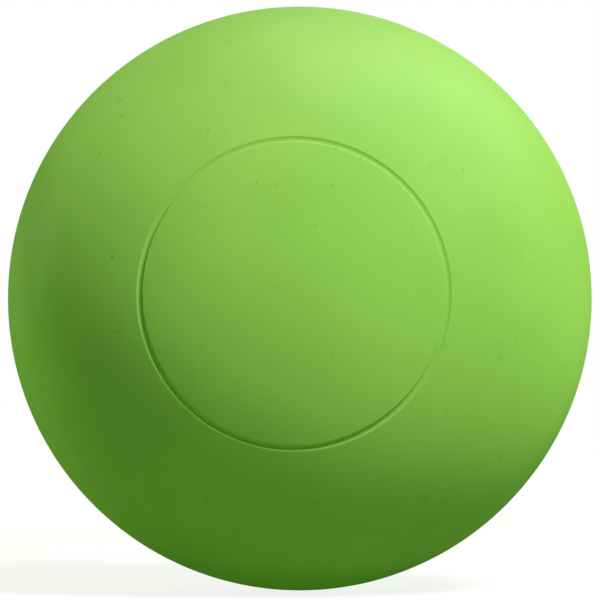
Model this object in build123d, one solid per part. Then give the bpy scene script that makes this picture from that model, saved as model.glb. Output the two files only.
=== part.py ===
from build123d import *

import os
from math import asin, cos, pi, sin

# Lacrosse ball: a solid rubber core inside a coloured rubber cover that is moulded in halves.
# The origin is the ball's centre, +Z is up, and the engraved ring faces -Y.
# The halves of the cover meet in the XZ plane, where the mould parts. Sizes are in millimetres.

# Driving dimensions
BALL_DIAMETER = 63.5  # 2 1/2 in, where the playing rules allow 62.7 to 64.7
COVER_WALL = 5.0  # coloured rubber over the core
RING_DIAMETER = 31.75  # 1 1/4 in, across the middle of the engraved ring
RING_WIDTH = 0.7  # from lip to lip
RING_DEPTH = 0.22  # below the ball's surface
LIP_ROUND = 0.1  # soft moulded edge along each lip of the ring
PARTING_ROUND = 0.2  # outer edge of each half, along the parting line

# Radii that the pieces share
BALL_RADIUS = BALL_DIAMETER / 2
CORE_RADIUS = BALL_RADIUS - COVER_WALL


def ring_cutter():
    """The round tool that engraves the ring, as it stands in the cover's section."""
    tool_radius = (RING_WIDTH**2 / 4 + RING_DEPTH**2) / (2 * RING_DEPTH)
    from_centre = BALL_RADIUS - RING_DEPTH + tool_radius
    from_pole = asin(RING_DIAMETER / BALL_DIAMETER)
    place = Pos(from_centre * sin(from_pole), -from_centre * cos(from_pole))
    return place * Circle(tool_radius)


def cover_section(engraved):
    """Half of a cover half's section: a quarter ring whose pole is at -Y and whose axis is Y."""
    quarter = Rectangle(BALL_RADIUS, BALL_RADIUS, align=(Align.MIN, Align.MAX))
    section = (Circle(BALL_RADIUS) - Circle(CORE_RADIUS)) & quarter
    parting_corner = section.vertices().sort_by(Axis.X)[-1]
    section = fillet(parting_corner, PARTING_ROUND)
    if not engraved:
        return section
    plain_corners = section.vertices()
    section -= ring_cutter()
    lips = [v for v in section.vertices() if v not in plain_corners]
    return fillet(lips, LIP_ROUND)


def core():
    """The ball inside the cover, which fills it and is bonded to it all over."""
    return Sphere(CORE_RADIUS)


def front_cover():
    """The half of the cover that carries the engraved ring."""
    return revolve(cover_section(engraved=True), Axis.Y)


def back_cover():
    """The plain half of the cover, turned to face the other way."""
    return Rot(0, 0, 180) * revolve(cover_section(engraved=False), Axis.Y)


def main():
    os.makedirs("parts", exist_ok=True)
    for piece in (core, front_cover, back_cover):
        solid = piece()
        export_step(solid, f"parts/{piece.__name__}.step")
        print(f"{piece.__name__}: {solid.volume / 1000:.2f} cm3")
    print(f"circumference {pi * BALL_DIAMETER:.1f} mm")


main()
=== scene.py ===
# %% [markdown]
# # A lacrosse ball, dressed for its picture
#
# A lacrosse ball is solid moulded rubber. A lime green cover, moulded in two halves, is cured over
# a plain rubber core, and a fine ring is sunk into the face of one half while it is in the mould.
# The frame brings in the three parts at their real size. The core is hidden in the ball and keeps
# its shape. The halves of the cover are made again here with a finer skin, because the sunken
# ring and the soft edges are what the eye looks for on such a plain thing.

import math

import bpy
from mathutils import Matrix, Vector


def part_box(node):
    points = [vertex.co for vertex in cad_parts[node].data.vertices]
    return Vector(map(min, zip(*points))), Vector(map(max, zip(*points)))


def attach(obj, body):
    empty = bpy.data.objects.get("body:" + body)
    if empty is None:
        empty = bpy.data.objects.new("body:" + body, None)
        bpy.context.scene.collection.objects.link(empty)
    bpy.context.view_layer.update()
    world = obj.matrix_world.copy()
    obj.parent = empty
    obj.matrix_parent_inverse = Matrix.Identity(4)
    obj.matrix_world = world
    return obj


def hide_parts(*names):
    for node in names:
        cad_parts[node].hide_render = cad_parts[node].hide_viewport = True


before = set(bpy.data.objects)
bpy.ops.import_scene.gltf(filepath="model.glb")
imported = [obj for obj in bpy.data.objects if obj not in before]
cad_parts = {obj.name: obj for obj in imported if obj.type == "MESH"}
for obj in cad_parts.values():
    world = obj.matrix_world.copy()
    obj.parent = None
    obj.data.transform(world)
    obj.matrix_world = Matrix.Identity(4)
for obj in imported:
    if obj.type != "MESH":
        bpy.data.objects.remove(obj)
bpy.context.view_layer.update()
scene = bpy.context.scene
scene.view_settings.view_transform = "Standard"
print("CAD parts:", sorted(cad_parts))

# %% [markdown]
# ## Sizes
#
# All lengths are in metres, in the frame that the parts came in: the ball's centre is the origin,
# +Z is up and the ring faces -Y. The ball's and the core's radius are read from the frame,
# so that the cover always fits them. The ring's sizes repeat those of the solid part.

# %% Sizes of the ball and its ring
MM = 0.001
ball_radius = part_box("front_cover")[1].x
core_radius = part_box("core")[1].x
ring_radius = 15.875 * MM
ring_width = 0.7 * MM
ring_depth = 0.22 * MM
lip_round = 0.1 * MM
parting_round = 0.2 * MM
print(f"ball {2 * ball_radius / MM:.2f} mm across, core {2 * core_radius / MM:.2f} mm across")

# %% [markdown]
# ## Writing rules as arithmetic
#
# A node tree can hold any formula, but a long chain of Math nodes is hard to read. The small
# class here stands for one value in a tree. Adding or multiplying two such values adds the Math
# node and its wires, so that a rule for a shape or a finish reads like the formula that it is.

# %% Adding and wiring nodes
def connect(tree, value, socket):
    """Wires a value into a socket, or sets it where the value is plain. None leaves it as it is."""
    if isinstance(value, Field):
        tree.links.new(value.socket, socket)
    elif value is not None:
        socket.default_value = value


def add_node(tree, kind, *values, **settings):
    """Adds a node, sets its options, and fills its inputs in their order."""
    node = tree.nodes.new(kind)
    for option, choice in settings.items():
        setattr(node, option, choice)
    for value, socket in zip(values, node.inputs):
        connect(tree, value, socket)
    return node


def output(node, name):
    """What a node gives, as a value to go on with."""
    return Field(node.id_data, node.outputs[name])


print("helpers: connect, add_node, output")

# %% A value in a node tree
class Field:
    """One value in a node tree, which can be used in arithmetic."""

    def __init__(self, tree, socket):
        self.tree = tree
        self.socket = socket

    def math(self, operation, *values):
        """The result of a Math node with these inputs."""
        return output(add_node(self.tree, "ShaderNodeMath", *values, operation=operation), "Value")

    def __add__(self, other):
        return self.math("ADD", self, other)

    def __sub__(self, other):
        return self.math("SUBTRACT", self, other)

    def __rsub__(self, other):
        return self.math("SUBTRACT", other, self)

    def __mul__(self, other):
        return self.math("MULTIPLY", self, other)

    def __truediv__(self, other):
        return self.math("DIVIDE", self, other)

    def __rtruediv__(self, other):
        return self.math("DIVIDE", other, self)

    def __abs__(self):
        return self.math("ABSOLUTE", self)

    __radd__ = __add__
    __rmul__ = __mul__

    def at_least(self, other):
        return self.math("MAXIMUM", self, other)

    def at_most(self, other):
        return self.math("MINIMUM", self, other)

    def root(self):
        return self.math("SQRT", self)

    def sine(self):
        return self.math("SINE", self)

    def cosine(self):
        return self.math("COSINE", self)

    def arcsine(self):
        return self.math("ARCSINE", self)

    def above(self, other):
        """1 where the value is greater, and 0 elsewhere."""
        return self.math("GREATER_THAN", self, other)

    def soft_max(self, other, softness):
        """The greater of two values, with the corner where they cross rounded off."""
        return self.math("SMOOTH_MAX", self, other, softness)

    def ramp(self, low, high):
        """Rises smoothly from 0 where the value is low to 1 where it is high."""
        node = add_node(self.tree, "ShaderNodeMapRange", self, low, high, 0.0, 1.0)
        node.interpolation_type = "SMOOTHSTEP"
        return output(node, "Result")


print("a value knows:", ", ".join(name for name in vars(Field) if not name.startswith("__")))

# %% Vectors in a node tree
def split(tree, vector):
    """The three parts of a vector."""
    node = add_node(tree, "ShaderNodeSeparateXYZ", vector)
    return [Field(tree, socket) for socket in node.outputs]


def combine(tree, x, y, z):
    """A vector, or a colour, from its three parts."""
    return output(add_node(tree, "ShaderNodeCombineXYZ", x, y, z), "Vector")


print("helpers: split, combine")

# %% [markdown]
# ## The cover's rubber
#
# The cover is pigmented rubber, straight from a satin mould: an even lime green with a soft, broad
# sheen. Close up it has a very fine grain, faint clouds where the pigment is uneven, and a scatter
# of shallow pits where air was caught in the mould, each painted darker inside as painted shade.
# Each of these is a pattern of its own real size on Object coordinates, which are metres here, so
# nothing has to be unwrapped.
# The sunken ring is painted a little darker inside, as painted shade, and is a little rougher;
# the shape rule below marks it with an attribute.

# %% Helpers for a finish
def new_finish(name):
    """A material with its shader, and the place that its patterns are drawn by."""
    material = bpy.data.materials.new(name)
    material.use_nodes = True
    tree = material.node_tree
    place = output(add_node(tree, "ShaderNodeTexCoord"), "Object")
    return material, tree, tree.nodes["Principled BSDF"], place


def noise(tree, place, size, detail=2.0, seed=0.0):
    """Cloudy noise from 0 to 1, whose clouds are about that size."""
    node = add_node(tree, "ShaderNodeTexNoise", noise_dimensions="4D")
    connect(tree, place, node.inputs["Vector"])
    connect(tree, seed, node.inputs["W"])
    connect(tree, 1 / size, node.inputs["Scale"])
    connect(tree, detail, node.inputs["Detail"])
    return output(node, "Fac")


def mix_colour(tree, share, first, second):
    """The first colour where the share is 0, and the second where it is 1."""
    node = add_node(tree, "ShaderNodeMix", data_type="RGBA")
    sockets = {socket.identifier: socket for socket in (*node.inputs, *node.outputs)}
    connect(tree, share, sockets["Factor_Float"])
    for colour, name in ((first, "A_Color"), (second, "B_Color")):
        connect(tree, colour if isinstance(colour, Field) else (*colour, 1.0), sockets[name])
    return Field(tree, sockets["Result_Color"])


def bump(tree, height, depth, below=None):
    """Shading relief of that depth, on top of the relief below it."""
    node = add_node(tree, "ShaderNodeBump")
    connect(tree, height, node.inputs["Height"])
    connect(tree, below, node.inputs["Normal"])
    connect(tree, 1.0, node.inputs["Strength"])
    connect(tree, depth, node.inputs["Distance"])
    return output(node, "Normal")


print("helpers: new_finish, noise, mix_colour, bump")

# %% Pits in the skin
PIT_SPACING = 1.9 * MM
PIT_RADIUS = 0.38 * MM
PIT_SIZES = (0.5, 1.2)  # the smallest and the largest, as shares of that radius
PIT_MIDDLE = 0.2  # share of a pit's radius that has its full depth
PITTED_SHARE = 0.42  # share of the pattern's cells that hold a pit
FAINTEST_PIT = 0.25  # share of the deepest pit's depth


def pits(tree, place):
    """Up to 1 in the middle of each pit and 0 outside: some cells of a Voronoi pattern hold one."""
    cells = add_node(tree, "ShaderNodeTexVoronoi")
    connect(tree, place, cells.inputs["Vector"])
    connect(tree, 1 / PIT_SPACING, cells.inputs["Scale"])
    chance, size, depth = split(tree, output(cells, "Color"))
    smallest, largest = PIT_SIZES
    reach = PIT_RADIUS / PIT_SPACING * (size * (largest - smallest) + smallest)
    hole = 1 - (output(cells, "Distance") / reach).ramp(PIT_MIDDLE, 1.0)
    is_pitted = 1 - chance.above(PITTED_SHARE)
    return hole * is_pitted * (depth * depth * (1 - FAINTEST_PIT) + FAINTEST_PIT)


print(f"pits up to {2 * PIT_RADIUS * PIT_SIZES[1] / MM:.2f} mm across")

# %% The cover's finish
LIME = (0.226, 0.435, 0.076)
DEEP_LIME = (0.212, 0.416, 0.07)
# the green painted into the pits as painted shade
PIT_SHADE_GREEN = (0.075, 0.215, 0.016)
PIT_SHADE_SHARE = 0.45  # how much of the painted shade green the deepest pit takes
FURROW_SHADE_SHARE = 0.25  # how much of the deep lime the sunken ring takes, as painted shade
FURROW_MARK = "furrow"  # the attribute that the shape rule leaves in the ring
CLOUD_SIZE = 14 * MM
CLOUD_DETAIL = 4.0
CLOUD_EDGES = (0.35, 0.65)  # the noise at which a cloud starts, and at which it is full
GRAIN_SIZE = 0.35 * MM
GRAIN_DEPTH = 0.012 * MM
PIT_DEPTH = 0.02 * MM
COVER_ROUGHNESS = 0.46
GRAIN_ROUGHNESS = 0.1  # added where the grain is high
FURROW_ROUGHNESS = 0.06  # added in the sunken ring
COVER_SOFTNESS = 0.4  # how much the body colour flattens out, as on a powdery skin
COVER_SHEEN = 0.2  # specular level of a satin skin, where 0.5 is clean plastic


def cover_finish():
    """Lime green moulded rubber, with its clouds, grain and pits, and painted shade in the pits and
    the sunken ring.
    """
    material, tree, shader, place = new_finish("cover_rubber_lime")
    clouds = noise(tree, place, CLOUD_SIZE, CLOUD_DETAIL)
    grain = noise(tree, place, GRAIN_SIZE)
    pit = pits(tree, place)
    furrow = output(add_node(tree, "ShaderNodeAttribute", attribute_name=FURROW_MARK), "Fac")
    colour = mix_colour(tree, clouds.ramp(*CLOUD_EDGES), DEEP_LIME, LIME)
    # painted shade: the sunken ring is painted towards the deep lime by its depth
    colour = mix_colour(tree, furrow * FURROW_SHADE_SHARE, colour, DEEP_LIME)
    # painted shade: the deeper a pit, the darker the green it is painted
    colour = mix_colour(tree, pit * PIT_SHADE_SHARE, colour, PIT_SHADE_GREEN)
    connect(tree, colour, shader.inputs["Base Color"])
    roughness = COVER_ROUGHNESS + grain * GRAIN_ROUGHNESS + furrow * FURROW_ROUGHNESS
    connect(tree, roughness, shader.inputs["Roughness"])
    relief = bump(tree, grain, GRAIN_DEPTH)
    relief = bump(tree, 1 - pit, PIT_DEPTH, relief)
    connect(tree, relief, shader.inputs["Normal"])
    connect(tree, COVER_SOFTNESS, shader.inputs["Diffuse Roughness"])
    connect(tree, COVER_SHEEN, shader.inputs["Specular IOR Level"])
    return material


cover_rubber = cover_finish()
print("cover finish:", len(cover_rubber.node_tree.nodes), "nodes")

# %% [markdown]
# ## The core's rubber
#
# The core can't be seen, but it is a part in its own right and may be shown cut open. It is
# unpigmented rubber, buff, with flecks of the filler that was milled into it.

# %% The core's finish
BUFF = (0.50, 0.45, 0.36)
DARK_BUFF = (0.40, 0.35, 0.28)
FLECK = (0.20, 0.17, 0.13)
CORE_CLOUD_SIZE = 6 * MM
FLECK_SIZE = 0.8 * MM
FLECK_EDGES = (0.66, 0.74)  # the noise at which a fleck starts, and at which it is full
FLECK_HEIGHT = 0.3  # against the relief of the clouds
CORE_RELIEF = 0.05 * MM
CORE_ROUGHNESS = 0.62
CORE_CLOUD_ROUGHNESS = 0.2  # added in the light clouds


def core_finish():
    """Buff rubber with dark flecks."""
    material, tree, shader, place = new_finish("core_rubber_buff")
    clouds = noise(tree, place, CORE_CLOUD_SIZE, CLOUD_DETAIL)
    flecks = noise(tree, place, FLECK_SIZE).ramp(*FLECK_EDGES)
    colour = mix_colour(tree, clouds, DARK_BUFF, BUFF)
    connect(tree, mix_colour(tree, flecks, colour, FLECK), shader.inputs["Base Color"])
    connect(tree, CORE_ROUGHNESS + clouds * CORE_CLOUD_ROUGHNESS, shader.inputs["Roughness"])
    relief = bump(tree, clouds + flecks * FLECK_HEIGHT, CORE_RELIEF)
    connect(tree, relief, shader.inputs["Normal"])
    return material


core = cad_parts["core"]
core.data.materials.clear()
core.data.materials.append(core_finish())
print("core finish on", core.name)

# %% [markdown]
# ## The skin of a half
#
# Each half is half a ball, so its whole shape follows one rule, and a Geometry Nodes tree can hold
# it. A sphere from the Add menu has thin slivers at its poles, just in the middle of the face here.
# So the tree starts from a flat grid of squares. It pushes each square ring of the grid out into
# a circle, and then wraps the disc over the ball like a cap. Every ring can lie where it is needed:
# close together in the furrow and along the edge, and further apart over the plain rubber.

# %% A square grid becomes a disc
RING_GROWTH = 8  # points that a ring has more than the ring inside it


def disc(tree, ring_count):
    """The grid, and for each point: which ring it is on, and its direction from the middle."""
    points = 2 * ring_count + 1
    grid = add_node(tree, "GeometryNodeMeshGrid", 2.0, 2.0, points, points)
    x, y, _ = split(tree, output(add_node(tree, "GeometryNodeInputPosition"), "Position"))
    is_wide = abs(x).above(abs(y))
    long_side = is_wide * x + (1 - is_wide) * y
    short_side = is_wide * y + (1 - is_wide) * x
    angle = short_side / long_side * (math.pi / 4)
    along = long_side * angle.cosine()
    across = long_side * angle.sine()
    share = abs(long_side)
    east = (is_wide * along + (1 - is_wide) * across) / share
    north = (is_wide * across + (1 - is_wide) * along) / share
    return grid, share * ring_count, east, north


def spread(ring, stops):
    """How far from the pole each ring lies, for so many rings up to each stop."""
    arc = 0.0
    first = 0
    start = 0.0
    for count, stop in stops:
        passed = ((ring - first) / count).at_least(0.0).at_most(1.0)
        arc = passed * (stop - start) + arc
        first += count
        start = stop
    return arc


print("helpers: disc, spread")

# %% [markdown]
# ## The sunken ring
#
# The ring was cut into the mould with a round tool, and on the ball it is a shallow furrow with
# a round bottom, whose lips the rubber rounds over softly. A Boolean could cut it, but would leave
# long thin faces along the lips, which catch the light. So the points of the skin are lowered by
# a rule: how far a point is from the middle of the furrow gives the tool's depth there, and
# a soft maximum with zero rounds the lips. The field inside the ring is plain rubber.

# %% The ring's furrow
def ring_arc(size):
    """How far over the ball the ring lies from the pole."""
    return size["Ball radius"] * (size["Ring radius"] / size["Ball radius"]).arcsine()


def furrow_depth(size, arc):
    """How deep the ring's round tool cuts, at that distance over the ball from the pole."""
    distance = arc - ring_arc(size)
    width = size["Ring width"]
    depth = size["Ring depth"]
    tool = (width * width / 4 + depth * depth) / (2 * depth)
    cut = (tool * tool - distance * distance).at_least(0.0).root() - (tool - depth)
    return cut.soft_max(0.0, size["Lip round"])


print(f"furrow {ring_width / MM:.2f} mm wide and {ring_depth / MM:.2f} mm deep")

# %% [markdown]
# ## Closing the half
#
# A half of the cover is a thick shell, not a sheet. A second grid, rolled into a tube, makes the
# flat ring where the halves meet and then runs down the inside to the inner pole. Its first row
# has the same points as the cap's last ring, so that Merge by Distance welds the two into one closed
# piece. The outer corner of the parting line is rounded, which leaves a fine line round the ball.

# %% The outside of a half
EDGE_RINGS = 6
QUARTER = math.pi / 2


def cap(tree, size, stops, facing, engraved):
    """The outside of a half, and how many points its edge has."""
    ring_count = sum(count for count, _ in stops) + EDGE_RINGS
    grid, ring, east, north = disc(tree, ring_count)
    turn = ((ring - (ring_count - EDGE_RINGS)) / EDGE_RINGS).at_least(0.0) * QUARTER
    arc = spread(ring, stops) + turn.sine() * size["Parting round"]
    angle = arc / size["Ball radius"]
    side = angle.sine()
    out = combine(tree, east * side * facing, angle.cosine() * -facing, north * side)
    depth = furrow_depth(size, arc) if engraved else 0.0 * arc
    wavelength = size["Ripple length"] / size["Ball radius"]
    waves = noise(tree, out, wavelength, seed=size["Ripple seed"])
    ripple = waves * size["Ripple height"] * (1 - turn.sine())
    reach = size["Ball radius"] - depth - ripple - (1 - turn.cosine()) * size["Parting round"]
    place = add_node(tree, "ShaderNodeVectorMath", out, operation="SCALE")
    connect(tree, reach, place.inputs["Scale"])
    moved = add_node(tree, "GeometryNodeSetPosition", output(grid, "Mesh"))
    connect(tree, output(place, "Vector"), moved.inputs["Position"])
    marked = add_node(tree, "GeometryNodeStoreNamedAttribute", output(moved, "Geometry"))
    connect(tree, FURROW_MARK, marked.inputs["Name"])
    connect(tree, depth / size["Ring depth"], marked.inputs["Value"])
    return output(marked, "Geometry"), RING_GROWTH * ring_count


print(f"outer edge rounded by {parting_round / MM:.1f} mm, in {EDGE_RINGS} rings")

# %% The lining
LINING_ROWS = 12


def lining(tree, size, columns, facing):
    """The parting face and the inside of a half."""
    rows = LINING_ROWS + 1
    grid = add_node(tree, "GeometryNodeMeshGrid", 1.0, 1.0, columns + 1, rows + 1)
    x, y, _ = split(tree, output(add_node(tree, "GeometryNodeInputPosition"), "Position"))
    row = (y + 0.5) * rows
    edge_radius = size["Ball radius"] - size["Parting round"]
    reach = edge_radius + row.at_most(1.0) * (size["Core radius"] - edge_radius)
    angle = (1 - (row - 1).at_least(0.0) / LINING_ROWS) * QUARTER
    round_angle = x * (2 * math.pi)
    east = round_angle.cosine() * angle.sine() * reach
    north = round_angle.sine() * angle.sine() * reach
    moved = add_node(tree, "GeometryNodeSetPosition", output(grid, "Mesh"))
    place = combine(tree, east * facing, angle.cosine() * reach * -facing, north)
    connect(tree, place, moved.inputs["Position"])
    return output(add_node(tree, "GeometryNodeFlipFaces", output(moved, "Geometry")), "Mesh")


print(f"lining {(ball_radius - core_radius) / MM:.1f} mm under the skin, in {LINING_ROWS} rows")

# %% [markdown]
# ## The tree of a half
#
# The two halves share one set of inputs, so that the ball can be made again at another size by
# changing a number in the modifier. The only chance in it is the faint waviness of the moulded
# skin, and a fixed seed keeps that the same each time. Each ring of the disc has more points than
# the one inside it, so the many rings of the front half's field also give the furrow its many points.

# %% Inputs and rings
HALF_SIZES = {
    "Ball radius": ball_radius,
    "Core radius": core_radius,
    "Parting round": parting_round,
    "Ring radius": ring_radius,
    "Ring width": ring_width,
    "Ring depth": ring_depth,
    "Lip round": lip_round,
    "Ripple height": 0.02 * MM,
    "Ripple length": 9 * MM,
}
RIPPLE_SEED = 3
FIELD_RINGS = 86
FURROW_RINGS = 26
OUTER_RINGS = 24
BACK_RINGS = 60


def edge_arc(size):
    """How far over the ball the rounding of the parting edge starts from the pole."""
    return size["Ball radius"] * QUARTER - size["Parting round"]


def front_stops(size):
    """Rings of the front half: close together in the ring's furrow."""
    ring_start = ring_arc(size) - size["Ring width"]
    ring_end = ring_arc(size) + size["Ring width"]
    return (FIELD_RINGS, ring_start), (FURROW_RINGS, ring_end), (OUTER_RINGS, edge_arc(size))


def back_stops(size):
    """Rings of the plain back half, all the same distance apart."""
    return ((BACK_RINGS, edge_arc(size)),)


print("inputs:", ", ".join(HALF_SIZES))

# %% The tree
WELD = 0.002 * MM


def cover_rule(name, find_stops, facing, engraved):
    """A Geometry Nodes tree that makes one half of the cover."""
    tree = bpy.data.node_groups.new(name, "GeometryNodeTree")
    for size_name in HALF_SIZES:
        tree.interface.new_socket(size_name, in_out="INPUT", socket_type="NodeSocketFloat")
    tree.interface.new_socket("Ripple seed", in_out="INPUT", socket_type="NodeSocketInt")
    tree.interface.new_socket("Rubber", in_out="INPUT", socket_type="NodeSocketMaterial")
    tree.interface.new_socket("Geometry", in_out="OUTPUT", socket_type="NodeSocketGeometry")
    group_in = add_node(tree, "NodeGroupInput")
    size = {socket.name: Field(tree, socket) for socket in group_in.outputs if socket.name}
    outside, columns = cap(tree, size, find_stops(size), facing, engraved)
    inside = lining(tree, size, columns, facing)
    joined = add_node(tree, "GeometryNodeJoinGeometry")
    for side in (inside, outside):
        connect(tree, side, joined.inputs["Geometry"])
    welded = add_node(tree, "GeometryNodeMergeByDistance", output(joined, "Geometry"))
    connect(tree, WELD, welded.inputs["Distance"])
    smooth = add_node(tree, "GeometryNodeSetShadeSmooth", output(welded, "Geometry"))
    solid = add_node(tree, "GeometryNodeRealizeInstances", output(smooth, "Geometry"))
    coloured = add_node(tree, "GeometryNodeSetMaterial", output(solid, "Geometry"))
    connect(tree, size["Rubber"], coloured.inputs["Material"])
    add_node(tree, "NodeGroupOutput", output(coloured, "Geometry"))
    print(f"{name}: {len(tree.nodes)} nodes, {columns} points round its edge")
    return tree


front_rule = cover_rule("front half", front_stops, 1, True)
back_rule = cover_rule("back half", back_stops, -1, False)

# %% [markdown]
# ## From the rule to a plain mesh
#
# The modifier is only a way to get the mesh. Its inputs are set through the sockets' identifiers
# before the first evaluation, the evaluated result becomes a mesh of its own, and the modifier
# goes. What is left is an ordinary object at the origin that any program can read.

# %% Make the two halves
CREASE = math.radians(50)


def make_piece(name, tree):
    """Runs a tree once and keeps what it makes as a plain mesh."""
    piece = bpy.data.objects.new(name, bpy.data.meshes.new(name))
    scene.collection.objects.link(piece)
    modifier = piece.modifiers.new("shape rule", "NODES")
    modifier.node_group = tree
    values = {**HALF_SIZES, "Ripple seed": RIPPLE_SEED, "Rubber": cover_rubber}
    for item in tree.interface.items_tree:
        if item.in_out == "INPUT":
            modifier[item.identifier] = values[item.name]
    evaluated = piece.evaluated_get(bpy.context.evaluated_depsgraph_get())
    mesh = bpy.data.meshes.new_from_object(evaluated)
    piece.modifiers.remove(modifier)
    piece.data = mesh
    mesh.materials.pop(index=0)  # Set Material leaves an empty slot before its own
    mesh.set_sharp_from_angle(angle=CREASE)
    triangles = sum(len(face.vertices) - 2 for face in mesh.polygons)
    print(f"{name}: {len(mesh.vertices)} points, {triangles} triangles")
    return piece


front_half = make_piece("cover_front_half", front_rule)
back_half = make_piece("cover_back_half", back_rule)

# %% Put the halves in the frame
for half, node in ((front_half, "front_cover"), (back_half, "back_cover")):
    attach(half, "root")
    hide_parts(node)
print("both halves ride on the ball's body")

# %% [markdown]
# ## Floor and background
#
# The picture's background is plain white. The floor is a pale sheet that is white to the camera
# through Light Path, and much dimmer to the light that bounces off it, so that the lower half of
# the ball stays as deep in colour as it is in the photograph. That bounce is tinted with the ball's
# own green, which the ball throws on the sheet beside it. Gloss sees next to nothing of the white,
# because it would lay a pale veil over the shaded side of so satin a thing. The diffuse part of
# the sheet keeps the ball's shadow.

# %% A white world
WHITE = (1.0, 1.0, 1.0)
GLOSS_SHARE = 0.01


def background_share(tree):
    """1 for the rays that show the background itself, and next to nothing for soft gloss."""
    path = add_node(tree, "ShaderNodeLightPath")
    seen = output(path, "Is Camera Ray").at_least(output(path, "Is Transmission Ray"))
    return seen.at_least(output(path, "Is Glossy Ray") * GLOSS_SHARE)


def make_world():
    """White where it is seen, and dark to the light on the ball."""
    world = bpy.data.worlds.new("white studio")
    world.use_nodes = True
    tree = world.node_tree
    background = tree.nodes["Background"]
    connect(tree, (*WHITE, 1.0), background.inputs["Color"])
    connect(tree, background_share(tree), background.inputs["Strength"])
    scene.world = world


make_world()
print("world:", scene.world.name)

# %% A pale floor
FLOOR_SIZE = 6.0
FLOOR_GREY = 0.14
FLOOR_WHITE = 0.84  # glow beside the ball, where the lamps light the sheet as well
FLOOR_FADE = (0.1, 0.6)  # distances from the ball between which the glow grows to 1
BOUNCE_TINT = (0.5, 1.0, 0.2)
BOUNCE_CLOSE = 0.43
BOUNCE_FAR = 0.72
BOUNCE_FADE = (0.06, 0.1)  # distances from the ball between which the bounce grows


def floor_finish():
    """White to the camera, and a dimmer green to the light that bounces off it."""
    material = bpy.data.materials.new("pale_floor")
    material.use_nodes = True
    tree = material.node_tree
    tree.nodes.clear()
    soft_light = 1 - output(add_node(tree, "ShaderNodeLightPath"), "Is Glossy Ray")
    grey = soft_light * FLOOR_GREY
    sheet = add_node(tree, "ShaderNodeBsdfDiffuse", combine(tree, grey, grey, grey))
    x, y, _ = split(tree, output(add_node(tree, "ShaderNodeTexCoord"), "Object"))
    from_ball = (x * x + y * y).root()
    level = from_ball.ramp(*FLOOR_FADE) * (1.0 - FLOOR_WHITE) + FLOOR_WHITE
    white = combine(tree, level, level, level)
    strength = from_ball.ramp(*BOUNCE_FADE) * (BOUNCE_FAR - BOUNCE_CLOSE) + BOUNCE_CLOSE
    soft_strength = strength * soft_light
    bounce = combine(tree, *(soft_strength * part for part in BOUNCE_TINT))
    glow = add_node(tree, "ShaderNodeEmission")
    connect(tree, mix_colour(tree, background_share(tree), bounce, white), glow.inputs["Color"])
    both = add_node(tree, "ShaderNodeAddShader", output(sheet, "BSDF"), output(glow, "Emission"))
    add_node(tree, "ShaderNodeOutputMaterial", output(both, "Shader"))
    return material


def make_floor():
    """One flat sheet that touches the ball from below."""
    half = FLOOR_SIZE / 2
    mesh = bpy.data.meshes.new("floor")
    corners = [(-half, -half), (half, -half), (half, half), (-half, half)]
    mesh.from_pydata([(x, y, -ball_radius) for x, y in corners], [], [(0, 1, 2, 3)])
    mesh.materials.append(floor_finish())
    floor = bpy.data.objects.new("floor", mesh)
    scene.collection.objects.link(floor)
    return floor


make_floor()
print(f"floor at z = {-ball_radius / MM:.2f} mm")

# %% [markdown]
# ## Light
#
# The photograph's light is soft and comes from above and to the right. A small softbox above
# the camera's right shoulder models the face and picks out the ring. A weak one above the left
# side lifts the shade there. Two more stand low behind the ball, one to each side: from the front
# they only keep the edges from sinking into their own shade, and they light the ball's back. They
# are tinted with a little of its green, because the edges in the photograph are as rich in colour as
# the rest. A big one overhead makes the broad pale sheen on the upper side. Only the big one
# shows in the sheen: a small lamp would leave a bright spot that a satin skin under real studio
# cloth doesn't have.

# %% Softboxes
SOFTBOX_DISTANCE = 0.5
PALE_GREEN = (0.8, 1.0, 0.5)
# Each has its direction from the ball, its size, its watts, its tint and what it is left out of.
SOFTBOXES = {
    "key_softbox": (Vector((0.42, -0.58, 0.7)), 0.15, 3.9, WHITE, "visible_glossy"),
    "left_softbox": (Vector((-0.6, -0.1, 0.8)), 0.4, 0.4, WHITE, "visible_glossy"),
    "rear_left_softbox": (Vector((-0.72, 0.6, 0.1)), 0.2, 2.9, PALE_GREEN, "visible_glossy"),
    "rear_right_softbox": (Vector((0.75, 0.6, 0.1)), 0.2, 2.2, PALE_GREEN, "visible_glossy"),
    "overhead_softbox": (Vector((0.45, 0.1, 0.85)), 0.6, 3.9, WHITE, "visible_diffuse"),
}


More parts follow.
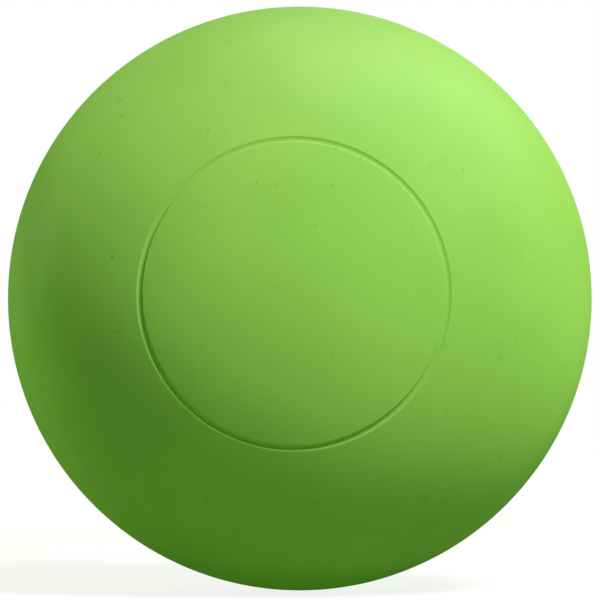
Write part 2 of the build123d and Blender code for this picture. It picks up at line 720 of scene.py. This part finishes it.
def make_softbox(name, direction, size, watts, tint, left_out):
    """A square lamp that looks at the ball, and is left out of one kind of light."""
    light = bpy.data.lights.new(name, "AREA")
    light.size = size
    light.energy = watts
    light.color = tint
    lamp = bpy.data.objects.new(name, light)
    lamp.location = direction.normalized() * SOFTBOX_DISTANCE
    lamp.rotation_euler = (-direction).to_track_quat("-Z", "Y").to_euler()
    lamp.visible_camera = False
    setattr(lamp, left_out, False)
    scene.collection.objects.link(lamp)


for name, settings in SOFTBOXES.items():
    make_softbox(name, *settings)
print("lamps:", ", ".join(SOFTBOXES))

# %% [markdown]
# ## Camera
#
# The ball fills the photograph from edge to edge. Its outline is a circle from any distance, but
# the ring on its face isn't quite in the middle, and that tells where the camera stood: a touch
# to the right of the ring and a touch below it. A long lens keeps the ball from bulging.

# %% The photograph's camera
IMAGE_SIZE = 600
BALL_CENTRE_PIXEL = (299.8, 298.5)
BALL_RADIUS_PIXELS = 292.0
CAMERA_AZIMUTH = math.radians(1.24)
CAMERA_ELEVATION = math.radians(-1.05)
CAMERA_DISTANCE = 0.467
NEAREST_SEEN = 0.01

camera_data = bpy.data.cameras.new("camera")
camera = bpy.data.objects.new("camera", camera_data)
scene.collection.objects.link(camera)
scene.camera = camera
toward_camera = Vector((
    math.sin(CAMERA_AZIMUTH) * math.cos(CAMERA_ELEVATION),
    -math.cos(CAMERA_AZIMUTH) * math.cos(CAMERA_ELEVATION),
    math.sin(CAMERA_ELEVATION),
))
camera.location = toward_camera * CAMERA_DISTANCE
camera.rotation_euler = (-toward_camera).to_track_quat("-Z", "Y").to_euler()
rim_slope = math.tan(math.asin(ball_radius / CAMERA_DISTANCE))
image_slope = rim_slope * IMAGE_SIZE / (2 * BALL_RADIUS_PIXELS)
camera_data.angle = 2 * math.atan(image_slope)
camera_data.shift_x = 0.5 - BALL_CENTRE_PIXEL[0] / IMAGE_SIZE
camera_data.shift_y = BALL_CENTRE_PIXEL[1] / IMAGE_SIZE - 0.5
camera_data.clip_start = NEAREST_SEEN
print(f"lens {camera_data.lens:.0f} mm at {CAMERA_DISTANCE} m")

# %% [markdown]
# ## The dressed ball
#
# The looks must not change the ball's size.
